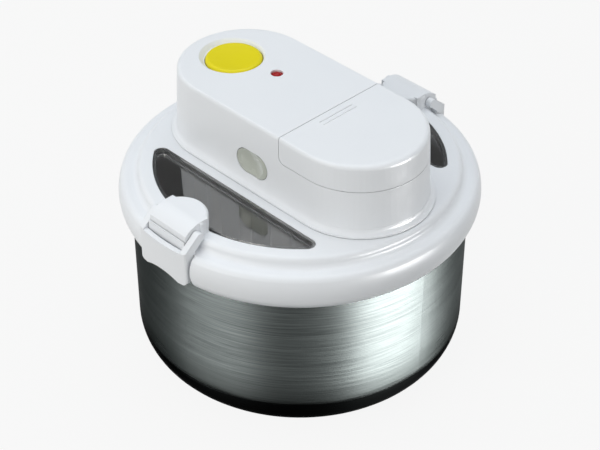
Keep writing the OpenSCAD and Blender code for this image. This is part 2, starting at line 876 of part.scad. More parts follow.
// Tapered body with rounded top edges; inset takes it in on all sides but the foot
module unit_form(inset, low) {
  n = 5;
  w_top = unit_w - side_taper;
  e_top = unit_e - end_taper;
  levels = concat(
    [[low, unit_w, unit_e]],
    [for (i = [0 : n])
      let (t = i * 90 / n)
      [crease_z - inset + edge_h * sin(t),
        w_top - side_round * (1 - cos(t)),
        e_top - end_round * (1 - cos(t))]]);
  hull()
    for (level = levels)
      translate([0, 0, level[0] - 0.01])
        linear_extrude(0.01) stadium(level[1] - inset, level[2] - level[1], $fn = 72);
}

// Concave flare and lip round the foot
module flare_outline() {
  translate([unit_w - 1, 0]) square([flare_r + 1, lip_t]);
  difference() {
    translate([unit_w - 1, 0]) square([flare_r + 1, lip_t + flare_r]);
    translate([unit_w + flare_r, lip_t + flare_r]) circle(flare_r);
  }
}

module unit_flare() {
  for (turn = [0, 180])
    rotate(turn) {
      translate([unit_s, 0, seat_z])
        intersection() {
          rotate_extrude() flare_outline();
          translate([0, -60, -1]) cube([60, 120, 20]);
        }
      translate([-unit_s, 0, seat_z]) rotate([90, 0, 90])
        linear_extrude(2 * unit_s) flare_outline();
    }
}

// Space of the battery cover, grown by gap towards the housing
module cover_space(gap) {
  r = cover_corner;
  x0 = cover_x - gap;
  z0 = cover_z - gap;
  translate([0, 60, 0]) rotate([90, 0, 0])
    linear_extrude(120) {
      translate([x0 + r, z0 + r]) circle(r);
      translate([x0 + r, z0]) square([100, 60]);
      translate([x0, z0 + r]) square([100, 60]);
    }
}

module release_hole(grow) {
  translate([release_x, 0, release_mid_z]) rotate([-90, 0, 0])
    linear_extrude(60) stadium(release_h / 2 + grow, (release_l - release_h) / 2);
}

module motor_housing() {
  color(white)
  difference() {
    union() {
      difference() {
        union() {
          unit_form(0, seat_z);
          unit_flare();
        }
        unit_form(shell_t, seat_z - 1);
      }
      // Collar that guides the start button
      translate([button_x, 0, collar_z])
        cylinder(r = button_r + button_gap + 3.4, h = unit_top_z - collar_z - 1);
      // Tube that holds the lamp's lens
      translate([lamp_x, lamp_y, lens_z - 1.6]) cylinder(r = lens_r + 1.2, h = 3);
      for (side = [-1, 1], end = [-1, 1])
        translate([end * boss_x, side * boss_y, base_top_z]) cylinder(r = boss_r, h = boss_h);
    }
    cover_space(cover_gap);
    // Recess and hole for the start button
    translate([button_x - recess_shift, 0, unit_top_z - recess_depth])
      cylinder(r1 = button_r + button_gap, r2 = button_r + button_gap + recess_flare,
        h = recess_depth + eps);
    translate([button_x, 0, collar_z - 1]) cylinder(r = button_r + button_gap, h = 20);
    translate([lamp_x, lamp_y, 0]) cylinder(r = lens_r - 0.8, h = 200);
    translate([lamp_x, lamp_y, lens_z]) cylinder(r = lens_r + press_gap, h = 5);
    release_hole(button_gap);
    rear() translate([-2 * release_x, 0, 0]) release_hole(button_gap);
    for (side = [-1, 1], end = [-1, 1])
      translate([end * boss_x, side * boss_y, base_top_z - 1]) cylinder(r = screw_r + press_gap, h = 11);
  }
}

module base_plate() {
  color(white)
  difference() {
    union() {
      translate([0, 0, seat_z]) linear_extrude(base_t) stadium(base_w, unit_s);
      // Ring that centres the unit on the lid
      translate([0, 0, seat_z - 1])
        difference() {
          cylinder(r = hub_r + bush_t + 5.6, h = 1 + eps);
          translate([0, 0, -1]) cylinder(r = hub_flange_r + 1, h = 3);
        }
      for (at = plate_posts)
        translate([at[0], at[1], base_top_z - eps]) cylinder(r = 3, h = plate_z - base_top_z + eps);
      translate([first_at[0], first_at[1], base_top_z - eps])
        cylinder(r = 3, h = layer_b - boss_gap - base_top_z);
      translate([second_at[0], second_at[1], base_top_z - eps])
        cylinder(r = 3, h = layer_a - boss_gap - base_top_z);
    }
    for (at = [first_at, second_at])
      translate([at[0], at[1], seat_z + 0.8]) cylinder(r = axle_r + press_gap, h = 40);
    translate([0, 0, seat_z - 5]) cylinder(r = output_r + bush_t, h = 20);
    for (side = [-1, 1])
      translate([release_x - catch_w - part_gap, side > 0 ? slot_in_y : -slot_out_y, seat_z - 1])
        cube([2 * (catch_w + part_gap), slot_out_y - slot_in_y, 10]);
    for (side = [-1, 1], end = [-1, 1])
      translate([end * boss_x, side * boss_y, 0]) {
        cylinder(r = screw_r + 0.2, h = 200);
        translate([0, 0, seat_z - 1]) cylinder(r = screw_head_r + 0.2, h = 1 + screw_head_h);
      }
    for (at = plate_posts)
      translate([at[0], at[1], plate_z - 7]) cylinder(r = screw_r + press_gap, h = 10);
  }
}

module base_screws() {
  color(steel)
  for (side = [-1, 1], end = [-1, 1])
    translate([end * boss_x, side * boss_y, seat_z + screw_head_h]) screw(9);
}

module battery_cover() {
  color(white) {
    intersection() {
      difference() {
        unit_form(0, seat_z);
        unit_form(shell_t, seat_z - 1);
      }
      cover_space(0);
    }
    // Tongue that slides under the housing's edge
    translate([cover_x - 6, -12, unit_top_z - shell_t - part_gap - 1.5]) cube([10, 24, 1.5]);
    translate([cover_x + 1, -12, unit_top_z - shell_t - part_gap - 1.5]) cube([3, 24, 3]);
    // Finger ridges
    for (row = [0, 1])
      translate([cover_x + 4 + row * 3, -ridge_l / 2, unit_top_z - eps]) cube([0.7, ridge_l, 0.35]);
  }
}

// ---- Buttons and lamp ----

module start_button() {
  dish_w = button_r - button_round;
  dish_r = (dish_w * dish_w + button_dish * button_dish) / (2 * button_dish);
  wall_h = button_z - button_low_z - flange_t;
  color(yellow)
  translate([button_x, 0, 0])
    difference() {
      union() {
        translate([0, 0, button_low_z + flange_t - eps])
          rotate_extrude() {
            square([button_r, wall_h - button_round]);
            square([button_r - button_round, wall_h]);
            translate([button_r - button_round, wall_h - button_round]) circle(button_round);
          }
        translate([0, 0, button_low_z]) cylinder(r = button_r + 1.6, h = flange_t);
        translate([0, 0, board_top_z + switch_h + plunger_h + button_travel + face_gap])
          cylinder(r = 3, h = button_z - board_top_z - switch_h - plunger_h - button_travel - 1.6);
      }
      translate([0, 0, button_z - button_dish + dish_r]) sphere(dish_r, $fn = 200);
      translate([0, 0, button_low_z - 1])
        difference() {
          cylinder(r = button_r - 1.6, h = button_z - button_low_z - 1.6);
          translate([0, 0, -1]) cylinder(r = 3, h = 20);
        }
    }
}

module button_spring() {
  color(steel)
  translate([button_x, 0, board_top_z + eps])
    coil_spring(5.8, 0.35, button_z - 2.6 - board_top_z - 2 * eps, 4);
}

module lamp_lens() {
  dome_w = lens_r - 0.6;
  dome_h = lens_sink + 0.1;
  dome_r = (dome_w * dome_w + dome_h * dome_h) / (2 * dome_h);
  color([0.6, 0.05, 0.05])
  translate([lamp_x, lamp_y, lens_z + eps]) {
    cylinder(r = lens_r, h = lens_t);
    intersection() {
      translate([0, 0, lens_t + dome_h - dome_r]) sphere(dome_r, $fn = 64);
      cylinder(r = lens_r, h = 5);
    }
  }
}

module lamp() {
  top = lens_z - 0.3;
  color([0.8, 0.2, 0.2]) {
    translate([lamp_x, lamp_y, top - 5]) cylinder(r = lamp_r, h = 5 - lamp_r);
    translate([lamp_x, lamp_y, top - lamp_r]) sphere(lamp_r);
    translate([lamp_x, lamp_y, top - 6]) cylinder(r = lamp_r + 0.35, h = 1 + eps);
    for (side = [-1, 1])
      translate([lamp_x + side * 0.9 - 0.25, lamp_y - 0.25, board_top_z])
        cube([0.5, 0.5, top - 6 - board_top_z + eps]);
  }
}

// ---- Release buttons, drawn on the rear side ----

module release_button() {
  w = release_h / 2;
  s = (release_l - release_h) / 2;
  face_y = unit_w - side_taper / 2;
  dish_r = 26;
  color([0.62, 0.66, 0.6]) {
    difference() {
      union() {
        translate([release_x, release_in_y, release_mid_z]) rotate([-90, 0, 0]) {
          linear_extrude(face_y - release_in_y) stadium(w, s);
          linear_extrude(release_flange_t) stadium(w + release_rim, s);
        }
        // Leg down to the catch
        translate([release_x - catch_w, release_in_y, base_top_z + 0.6])
          cube([2 * catch_w, release_flange_t, release_mid_z - base_top_z - w]);
      }
      translate([release_x, face_y - 1.4 + dish_r, release_mid_z]) sphere(dish_r, $fn = 120);
    }
    translate([release_x, release_in_y - 1.5, release_mid_z]) rotate([-90, 0, 0]) cylinder(r = 1.8, h = 1.6);
  }
}

module release_catch() {
  color(natural)
  translate([release_x - catch_w + 0.5, 0, 0]) rotate([90, 0, 90])
    linear_extrude(2 * catch_w - 1)
      polygon([[catch_y, catch_top_z], [catch_y - catch_t, catch_top_z],
        [catch_y - catch_t, catch_nose_z - 3.6], [catch_y, catch_nose_z - 3.6],
        [catch_y + part_gap + catch_bite, catch_nose_z - 1.6],
        [catch_y + part_gap + catch_bite, catch_nose_z], [catch_y, catch_nose_z]]);
}

module release_spring() {
  from = spring_post_y + spring_post_t;
  color(steel)
  translate([release_x, from + eps, release_mid_z]) rotate([-90, 0, 0])
    coil_spring(2.9, 0.3, release_in_y - from - 2 * eps, 5);
}

module swap_side() {
  mirror([0, 1, 0]) children();
}

module front_release_button() { swap_side() release_button(); }
module rear_release_button() { release_button(); }
module front_release_catch() { swap_side() release_catch(); }
module rear_release_catch() { release_catch(); }
module front_release_spring() { swap_side() release_spring(); }
module rear_release_spring() { release_spring(); }

// ---- Gear train ----

module gear_plate() {
  color([0.55, 0.57, 0.6])
  difference() {
    union() {
      translate([0, 0, plate_z])
        linear_extrude(plate_t) {
          translate([-54, -21]) square([72, 43]);
          translate([-54, -32]) square([40, 14]);
          translate([release_x - 5, -spring_post_y - spring_post_t])
            square([10, 2 * (spring_post_y + spring_post_t)]);
        }
      translate([second_at[0], second_at[1], layer_b + wheel_t + boss_gap])
        cylinder(r = 3, h = plate_z - layer_b - wheel_t - boss_gap + eps);
      for (side = [-1, 1])
        translate([release_x - 5, side > 0 ? spring_post_y : -spring_post_y - spring_post_t, plate_top_z - eps])
          cube([10, spring_post_t, release_mid_z - plate_top_z + 4]);
      for (at = board_posts)
        translate([at[0], at[1], plate_top_z - eps]) cylinder(r = post_r, h = board_z - plate_top_z + eps);
      translate([button_x, -3.5, plate_top_z - eps]) cylinder(r = 2, h = board_z - plate_top_z + eps);
    }
    translate([0, 0, plate_z - 1]) cylinder(r = spindle_r + run_gap, h = 10);
    for (at = [first_at, second_at])
      translate([at[0], at[1], layer_b]) cylinder(r = axle_r + press_gap, h = 30);
    translate([motor_at[0], motor_at[1], plate_z - 1]) cylinder(r = 3 + press_gap, h = 10);
    for (side = [-1, 1])
      translate([motor_at[0] + side * 8, motor_at[1], plate_z - 1]) cylinder(r = 1.1, h = 10);
    for (at = plate_posts)
      translate([at[0], at[1], plate_z - 1]) cylinder(r = screw_r + 0.2, h = 10);
    for (at = board_posts)
      translate([at[0], at[1], board_z - 8]) cylinder(r = 0.9 + press_gap, h = 10);
  }
}

module plate_screws() {
  color(steel)
  for (at = plate_posts)
    translate([at[0], at[1], plate_top_z]) mirror([0, 0, 1]) screw(6);
}

module output_bush() {
  color(brass)
  translate([0, 0, seat_z])
    difference() {
      cylinder(r = output_r + bush_t - press_gap, h = base_t + 0.5);
      translate([0, 0, -1]) cylinder(r = output_r + run_gap, h = 10);
    }
}

module output_gear() {
  color(natural) {
    translate([0, 0, layer_a]) gear(wheel_teeth, wheel_t, second_angle + 180, true);
    translate([0, 0, layer_a + wheel_t - eps]) cylinder(r = spindle_r, h = plate_top_z - layer_a - wheel_t);
    translate([0, 0, seat_z]) cylinder(r = output_r, h = layer_a - seat_z + eps);
    translate([0, 0, hub_top_z - hex_h]) hexagon(hex_af, seat_z - hub_top_z + hex_h + eps);
  }
}

module second_axle() {
  color(steel)
  translate([second_at[0], second_at[1], seat_z + 0.9]) cylinder(r = axle_r, h = plate_top_z - seat_z - 0.9);
}

module second_gear() {
  color([0.85, 0.8, 0.7])
  translate([second_at[0], second_at[1], 0])
    difference() {
      union() {
        translate([0, 0, layer_a]) gear(pinion_teeth, layer_b - layer_a + eps, second_angle + 180);
        translate([0, 0, layer_b]) gear(wheel_teeth, wheel_t, first_angle + 180, true);
      }
      translate([0, 0, layer_a - 1]) cylinder(r = axle_r + run_gap, h = 30);
    }
}

module first_axle() {
  color(steel)
  translate([first_at[0], first_at[1], seat_z + 0.9]) cylinder(r = axle_r, h = plate_top_z - seat_z - 0.9);
}

module first_gear() {
  color([0.8, 0.82, 0.84])
  translate([first_at[0], first_at[1], 0])
    difference() {
      union() {
        translate([0, 0, layer_b]) gear(pinion_teeth, layer_c - layer_b + eps, first_angle + 180);
        translate([0, 0, layer_c]) gear(wheel_teeth, wheel_t, motor_angle, true);
      }
      translate([0, 0, layer_b - 1]) cylinder(r = axle_r + run_gap, h = 30);
    }
}

module motor_can() {
  color(steel)
  translate([motor_at[0], motor_at[1], 0])
    difference() {
      union() {
        translate([0, 0, motor_z]) cylinder(r = motor_r, h = motor_l);
        translate([0, 0, plate_z]) cylinder(r = 3, h = plate_t + eps);
      }
      translate([0, 0, plate_z - 1]) cylinder(r = 1 + run_gap, h = motor_l);
      translate([0, 0, motor_z + motor_l - 1]) cylinder(r = motor_r - 1.5, h = 2);
      for (side = [-1, 1])
        translate([side * 8, 0, motor_z - 1]) cylinder(r = 0.9, h = 5);
    }
}

module motor_cap() {
  color([0.15, 0.15, 0.16])
  translate([motor_at[0], motor_at[1], motor_z + motor_l - 1 + eps]) {
    cylinder(r = motor_r - 1.5 - press_gap, h = 1.6);
    for (side = [-1, 1])
      translate([side * 6 - 1.4, -0.3, 1]) cube([2.8, 0.6, 3]);
  }
}

module motor_shaft() {
  color(steel)
  translate([motor_at[0], motor_at[1], layer_c - 0.4]) cylinder(r = 1, h = 12);
}

module motor_pinion() {
  color(brass)
  translate([motor_at[0], motor_at[1], layer_c])
    difference() {
      gear(pinion_teeth, wheel_t, motor_angle + 180);
      translate([0, 0, -1]) cylinder(r = 1 + press_gap, h = 10);
    }
}

module motor_screws() {
  color(steel)
  for (side = [-1, 1])
    translate([motor_at[0] + side * 8, motor_at[1], plate_z]) {
      translate([0, 0, -0.6]) cylinder(r = 1.7, h = 0.6);
      cylinder(r = 0.85, h = plate_t + 3);
    }
}

// ---- Circuit board ----

module circuit_board() {
  color([0.1, 0.4, 0.2])
  difference() {
    union() {
      translate([-60, -6.5, board_z]) cube([43.5, 20.5, board_t]);
      // Control chip and two capacitors
      translate([-40, 1, board_top_z - eps]) cube([6, 8, 1.6]);
      translate([-33, -2, board_top_z - eps]) cylinder(r = 2.5, h = 5);
      translate([-33, 9, board_top_z - eps]) cylinder(r = 1.8, h = 4);
    }
    for (at = board_posts)
      translate([at[0], at[1], board_z - 1]) cylinder(r = 1.1, h = 4);
  }
}

module board_screws() {
  color(steel)
  for (at = board_posts)
    translate([at[0], at[1], board_top_z]) {
      cylinder(r = 1.8, h = 0.9);
      translate([0, 0, -6]) cylinder(r = 0.9, h = 6 + eps);
    }
}

module push_switch() {
  color([0.12, 0.12, 0.13])
  translate([button_x, 0, board_top_z]) {
    translate([-3, -3, 0]) cube([6, 6, switch_h]);
    translate([0, 0, switch_h - eps]) cylinder(r = 1.75, h = plunger_h);
  }
}

// ---- Batteries ----

module battery_tray() {
  x0 = bay_half_x + cell_gap;
  color([0.3, 0.32, 0.34])
  difference() {
    translate([bay_x - x0 - tray_t, -bay_half_y - tray_t, base_top_z])
      cube([2 * (x0 + tray_t), 2 * (bay_half_y + tray_t), tray_top_z - base_top_z]);
    translate([bay_x - x0, -bay_half_y, base_top_z + tray_t])
      cube([2 * x0, 2 * bay_half_y, 60]);
    // Finger cut-outs for taking the cells out
    for (side = [-1, 1])
      translate([bay_x + side * (x0 + tray_t), 0, tray_top_z]) rotate([0, 90, 0])
        cylinder(r = 12, h = 3 * tray_t, center = true);
  }
}

module battery_contacts() {
  color(brass)
  for (column = [-1, 1], end = [-1, 1])
    translate([bay_x + column * column_d / 2 - 4.5,
      end > 0 ? bay_half_y - contact_t : -bay_half_y, cell_z - 5.5])
      cube([9, contact_t, row_d + 11]);
}

// Cells alternate, so a spring stands at the flat end of each
module battery_springs() {
  color(steel)
  for (column = [-1, 1], row = [0, 1])
    let (end = column * (row > 0 ? -1 : 1))
      translate([bay_x + column * column_d / 2, end * (bay_half_y - contact_t - eps), cell_z + row * row_d])
        rotate([end * 90, 0, 0])
          coil_spring(3.4, 0.35, contact_spring_l - 2 * eps, 2);
}

module cell(column, row) {
  end = column * (row > 0 ? -1 : 1);
  color([0.25, 0.3, 0.45])
  translate([bay_x + column * column_d / 2, end * (bay_half_y - contact_t - contact_spring_l),
    cell_z + row * row_d])
    rotate([end * 90, 0, 0]) {
      cylinder(r = cell_d / 2, h = cell_l - nub_l);
      cylinder(r = nub_r, h = cell_l);
    }
}

module battery_1() { cell(-1, 0); }
module battery_2() { cell(1, 0); }
module battery_3() { cell(-1, 1); }
module battery_4() { cell(1, 1); }

bowl();
lid();
lid_gasket();
front_window();
rear_window();
front_bracket();
rear_bracket();
front_hinge_pin();
rear_hinge_pin();
front_hook();
rear_hook();
front_hook_spring();
rear_hook_spring();
hub_bush();
shaft_seal();
drive_hub();
hub_ring();
paddle();
motor_housing();
base_plate();
base_screws();
battery_cover();
start_button();
button_spring();
lamp_lens();
lamp();
front_release_button();
rear_release_button();
front_release_catch();
rear_release_catch();
front_release_spring();
rear_release_spring();
gear_plate();
plate_screws();
output_bush();
output_gear();
second_axle();
second_gear();
first_axle();
first_gear();
motor_can();
motor_cap();
motor_shaft();
motor_pinion();
motor_screws();
circuit_board();
board_screws();
push_switch();
battery_tray();
battery_contacts();
battery_springs();
battery_1();
battery_2();
battery_3();
battery_4();
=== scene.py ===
"""Ice cream maker: finishes, floor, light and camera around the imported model."""
import json
import math

import bpy
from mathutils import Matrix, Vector


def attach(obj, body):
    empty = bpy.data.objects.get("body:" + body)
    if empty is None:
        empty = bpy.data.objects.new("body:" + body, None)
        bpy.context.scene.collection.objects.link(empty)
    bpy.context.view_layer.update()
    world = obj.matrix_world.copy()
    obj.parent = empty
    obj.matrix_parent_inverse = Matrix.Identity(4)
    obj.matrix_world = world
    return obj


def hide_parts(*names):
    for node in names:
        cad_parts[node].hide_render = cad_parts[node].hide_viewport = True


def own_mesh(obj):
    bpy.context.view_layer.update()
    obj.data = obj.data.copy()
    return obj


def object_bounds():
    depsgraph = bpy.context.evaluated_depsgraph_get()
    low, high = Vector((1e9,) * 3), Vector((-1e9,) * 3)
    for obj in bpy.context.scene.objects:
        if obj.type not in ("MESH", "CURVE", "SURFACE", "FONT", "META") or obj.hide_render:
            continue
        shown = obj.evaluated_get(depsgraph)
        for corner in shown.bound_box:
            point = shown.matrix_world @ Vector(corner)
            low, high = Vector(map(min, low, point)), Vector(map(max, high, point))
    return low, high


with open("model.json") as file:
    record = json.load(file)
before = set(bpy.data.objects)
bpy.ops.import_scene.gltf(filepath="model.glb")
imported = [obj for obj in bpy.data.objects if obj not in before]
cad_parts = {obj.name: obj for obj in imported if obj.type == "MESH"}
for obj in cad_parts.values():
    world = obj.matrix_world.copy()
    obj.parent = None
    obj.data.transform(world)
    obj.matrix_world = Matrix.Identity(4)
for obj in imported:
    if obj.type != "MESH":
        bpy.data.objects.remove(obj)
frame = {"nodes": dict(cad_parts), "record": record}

CAD_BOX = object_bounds()
MM = 0.001

# The record's material slot of each node
SLOTS = {part["node"]: part["material_slot"] for part in frame["record"]["subparts"]}

# Camera, as seen from the aim point above the middle of the foot
CAMERA_AZIMUTH = math.radians(45.61)
CAMERA_ELEVATION = math.radians(36.35)
CAMERA_PITCH = math.radians(1.31)   # turned down past the aim point
CAMERA_DISTANCE = 0.906
CAMERA_LENS = 97.8
CAMERA_SENSOR = 36.0
AIM_HEIGHT = 99.5 * MM

# Edges of moulded plastic are rounded by about this much, those of small inner pieces by less
MOULD_EDGE = 0.45 * MM
FINE_EDGE = 0.2 * MM
WINDOW_EDGE = 0.25 * MM

# Height of the eggshell grain on moulded plastic
MOULD_GRAIN = 0.012 * MM

# Painted shade in joints and corners reaches about this far, and darkens them to this share
JOINT_SHADE_REACH = 1.0 * MM
JOINT_SHADE_SHARE = 0.35

# Faces that meet at more than this keep a crisp edge
CREASE = math.radians(32)

# Outside of the bowl: its dark and light brush lines, painted shade low down, and a painted dark
# reflection on the foot
# Painted dark reflection: both brush-line tones are set far darker than the steel inside the bowl
BOWL_DARK = (0.029, 0.033, 0.0325, 1.0)
BOWL_LIGHT = (0.062, 0.069, 0.0675, 1.0)
BOWL_LOW_SHADE = (0.016, 0.018, 0.0175, 1.0)
FOOT_DARK_REFLECTION = (0.0009, 0.001, 0.001, 1.0)

# Heights between which the painted shade clears and the painted dark reflection on the foot ends, and how
# ragged its end is
LOW_SHADE_HEIGHTS = (22.0 * MM, 44.0 * MM)
FOOT_HEIGHTS = (22.5 * MM, 25.5 * MM)
FOOT_RAGGED = 10.0 * MM

# Satin steel inside the bowl, on the faces that look towards this height on its axis
BOWL_INSIDE = (0.90, 0.885, 0.86, 1.0)
BOWL_MIDDLE = 60.0 * MM

# Floor, and how much of its look is plain white
FLOOR_SIZE = 80.0
FLOOR_LIGHT = (0.41, 0.408, 0.40, 1.0)
FLOOR_DARK = (0.39, 0.388, 0.38, 1.0)
FLOOR_WHITE = 0.90

# Even sky, and a dark card in front of it: its direction, and the cosines of its soft edge
SKY_COLOUR = (0.96, 0.98, 1.0, 1.0)
SKY_STRENGTH = 0.515
CARD_STRENGTH = 0.11
CARD_DIRECTION = (-0.652, 0.528, 0.545)
CARD_EDGE = (0.86, 0.97)

# Softboxes: azimuth and elevation in degrees, distance and size in metres, power in watts, colour
WARM = (1.0, 0.98, 0.93)
COOL = (0.90, 0.955, 1.0)
PLAIN = (1.0, 1.0, 1.0)
LIGHTS = {
    "top_light": (150, 72, 1.5, (1.5, 1.5), 10.7, COOL),
    "left_light": (-92, 25, 1.2, (0.7, 0.8), 5.0, WARM),
    "right_light": (22, 20, 1.2, (0.5, 0.8), 1.2, WARM),
    "left_strip": (-93, 0, 0.7, (0.56, 0.19), 13.5, PLAIN),
    "right_strip": (11, 0, 0.7, (0.60, 0.19), 74.0, PLAIN),
    "unit_strip": (19, 2, 0.7, (0.25, 0.19), 22.0, PLAIN),
    "ring_strip": (14, 2, 0.7, (0.40, 0.19), 7.5, PLAIN),
}

# The strips only add highlights, each to its own nodes
HIGHLIGHTS_ON = {
    "left_strip": ("bowl",),
    "right_strip": ("bowl",),
    "unit_strip": ("motor_housing", "battery_cover"),
    "ring_strip": ("lid", "front_bracket", "front_hook"),
}


# ---- Materials ----

class Shader:
    """A material under construction: its node tree and its Principled shader."""

    def __init__(self, name, **sockets):
        self.material = bpy.data.materials.new(name)
        self.material.use_nodes = True
        self.tree = self.material.node_tree
        self.main = self.tree.nodes["Principled BSDF"]
        for socket, value in sockets.items():
            self.main.inputs[socket.replace("_", " ")].default_value = value

    def node(self, kind, inputs=None, **settings):
        made = self.tree.nodes.new("ShaderNode" + kind)
        for name, value in settings.items():
            setattr(made, name, value)
        for key, value in (inputs or {}).items():
            self.put(value, made.inputs[key])
        return made

    def put(self, value, socket):
        """Links value to the socket if it is another node's output, and otherwise sets it."""
        if isinstance(value, bpy.types.NodeSocket):
            self.tree.links.new(value, socket)
        else:
            socket.default_value = value

    def plug(self, value, name):
        self.put(value, self.main.inputs[name])

    def place(self):
        return self.node("TexCoord").outputs["Object"]

    def noise(self, vector, scale, detail=2.0, roughness=0.5):
        return self.node("TexNoise", {
            "Vector": vector, "Scale": scale, "Detail": detail, "Roughness": roughness,
        }).outputs["Fac"]

    def spread(self, value, low, high, start=0.3, end=0.7):
        """value, from start to end, spread over low to high."""
        return self.node("MapRange", {
            "Value": value, "From Min": start, "From Max": end, "To Min": low, "To Max": high,
        }).outputs["Result"]

    def blend(self, factor, first, second):
        """Colour between first and second. The Mix node's colour sockets share their names, so
        they are picked by number."""
        mix = self.node("Mix", data_type="RGBA")
        self.put(factor, mix.inputs["Factor"])
        self.put(first, mix.inputs[6])
        self.put(second, mix.inputs[7])
        return mix.outputs[2]

    def math(self, operation, first, second):
        return self.node("Math", {0: first, 1: second}, operation=operation).outputs[0]

    def bevel(self, radius):
        return self.node("Bevel", {"Radius": radius}, samples=6).outputs["Normal"]

    def bump(self, height, distance, strength, normal=None):
        made = self.node("Bump", {"Height": height, "Distance": distance, "Strength": strength})
        if normal is not None:
            self.put(normal, made.inputs["Normal"])
        self.plug(made.outputs["Normal"], "Normal")


def shaded(colour, share=1.0):
    """colour times share, and opaque."""
    return (*(share * c for c in colour), 1.0)


def moulded(name, light, dark, rough, edge=MOULD_EDGE, **sockets):
    """Moulded plastic: faint flow marks in its colour, painted shade in its joints and corners, a fine
    eggshell skin and soft edges."""
    made = Shader(name, **sockets)
    place = made.place()
    clean = made.blend(made.spread(made.noise(place, 22.0, 3.0), 0.0, 1.0), shaded(light), shaded(dark))
    # Painted shade: the colour darkens towards the dark tone in joints and corners
    open_air = made.node("AmbientOcclusion", {"Distance": JOINT_SHADE_REACH}, samples=8).outputs["AO"]
    made.plug(made.blend(made.spread(open_air, 0.0, 1.0, 0.03, 0.36), shaded(dark, JOINT_SHADE_SHARE), clean),
              "Base Color")
    made.plug(made.spread(made.noise(place, 160.0), *rough), "Roughness")
    made.bump(made.noise(place, 1600.0), MOULD_GRAIN, 0.5, made.bevel(edge))
    return made.material


def white_plastic():
    return moulded("white_plastic", (0.848, 0.866, 0.890), (0.832, 0.851, 0.878), (0.32, 0.40),
                   Specular_IOR_Level=0.4)


def yellow_plastic():
    return moulded("yellow_plastic", (0.80, 0.69, 0.004), (0.77, 0.66, 0.003), (0.34, 0.42),
                   Specular_IOR_Level=0.3)


def grey_clear_plastic():
    return moulded("grey_clear_plastic", (0.55, 0.575, 0.51), (0.49, 0.515, 0.46), (0.2, 0.3),
                   Coat_Weight=0.6, Coat_Roughness=0.08)


def plain_plastic(name, colour):
    return moulded(name, colour, tuple(0.9 * c for c in colour), (0.42, 0.55), edge=FINE_EDGE)


def brushed_bowl():
    """Stainless steel with fine brush lines round the bowl, painted shade low down and a painted dark
    reflection on its foot.
    """
    made = Shader("bowl_steel", Metallic=1.0, Anisotropic=0.75, Anisotropic_Rotation=0.25,
                  Specular_Tint=(0.36, 0.36, 0.36, 1.0))
    place = made.place()
    parts = made.node("SeparateXYZ", {"Vector": place})
    height = parts.outputs["Z"]
    around = made.node("VectorMath", {0: made.node("CombineXYZ", {
        "X": parts.outputs["X"], "Y": parts.outputs["Y"]}).outputs[0]}, operation="NORMALIZE")
    across = made.node("SeparateXYZ", {"Vector": around.outputs[0]})

    def lines(per_metre, turns):
        """Noise drawn out round the bowl: close up its side, and slow along each line."""
        return made.noise(made.node("CombineXYZ", {
            "X": made.math("MULTIPLY", across.outputs["X"], turns),
            "Y": made.math("MULTIPLY", across.outputs["Y"], turns),
            "Z": made.math("MULTIPLY", height, per_metre)}).outputs[0], 1.0, 2.0, 0.6)

    streaks = made.math("ADD", made.math("MULTIPLY", lines(3000.0, 3.0), 0.6),
                        made.math("MULTIPLY", lines(1150.0, 1.8), 0.4))
    steel = made.blend(made.spread(streaks, 0.0, 1.0, 0.35, 0.65), BOWL_DARK, BOWL_LIGHT)
    # Painted shade: the steel darkens towards the bottom of the bowl
    low_shaded = made.blend(made.spread(height, 0.0, 1.0, *LOW_SHADE_HEIGHTS), BOWL_LOW_SHADE, steel)
    # Painted dark reflection: below a ragged line the foot turns near black
    ragged = made.math("ADD", height,
                       made.math("MULTIPLY", made.math("SUBTRACT", streaks, 0.5), FOOT_RAGGED))
    outside = made.blend(made.spread(ragged, 0.0, 1.0, *FOOT_HEIGHTS), FOOT_DARK_REFLECTION, low_shaded)

    # The normal points away from the middle outside the bowl, and towards it inside
    from_middle = made.node("VectorMath", {0: place, 1: (0.0, 0.0, BOWL_MIDDLE)}, operation="SUBTRACT")
    facing = made.node("VectorMath", {0: made.node("TexCoord").outputs["Normal"],
                                      1: from_middle.outputs[0]}, operation="DOT_PRODUCT").outputs["Value"]
    made.plug(made.blend(made.math("LESS_THAN", facing, 0.0), outside, BOWL_INSIDE), "Base Color")
    made.plug(made.spread(streaks, 0.45, 0.52, 0.35, 0.65), "Roughness")
    made.plug(made.node("Tangent", direction_type="RADIAL", axis="Z").outputs[0], "Tangent")
    made.bump(streaks, 0.01 * MM, 0.12)
    return made.material


def bright_metal(name, colour, rough=(0.18, 0.3)):
    made = Shader(name, Metallic=1.0)
    place = made.place()
    made.plug(made.blend(made.noise(place, 90.0), shaded(colour), shaded(colour, 0.8)), "Base Color")
    made.plug(made.spread(made.noise(place, 600.0, 3.0), *rough), "Roughness")
    return made.material


def smoked_clear():
    """Smoked clear plastic of the windows."""
    made = Shader("smoked_clear", Transmission_Weight=1.0, IOR=1.7,
                  Coat_Weight=1.0, Coat_IOR=1.7, Coat_Roughness=0.03)
    place = made.place()
    made.plug(made.blend(made.noise(place, 30.0), (0.81, 0.805, 0.80, 1.0), (0.77, 0.765, 0.76, 1.0)),
              "Base Color")
    made.plug(made.spread(made.noise(place, 120.0), 0.02, 0.05), "Roughness")
    made.bump(made.noise(place, 60.0), 0.02 * MM, 0.4, made.bevel(WINDOW_EDGE))
    return made.material


def red_lens():
    made = Shader("red_lens", Specular_IOR_Level=0.25)
    place = made.place()
    made.plug(made.blend(made.noise(place, 900.0), (0.42, 0.0, 0.002, 1.0), (0.28, 0.0, 0.001, 1.0)),
              "Base Color")
    made.plug(made.spread(made.noise(place, 400.0), 0.06, 0.14), "Roughness")
    return made.material


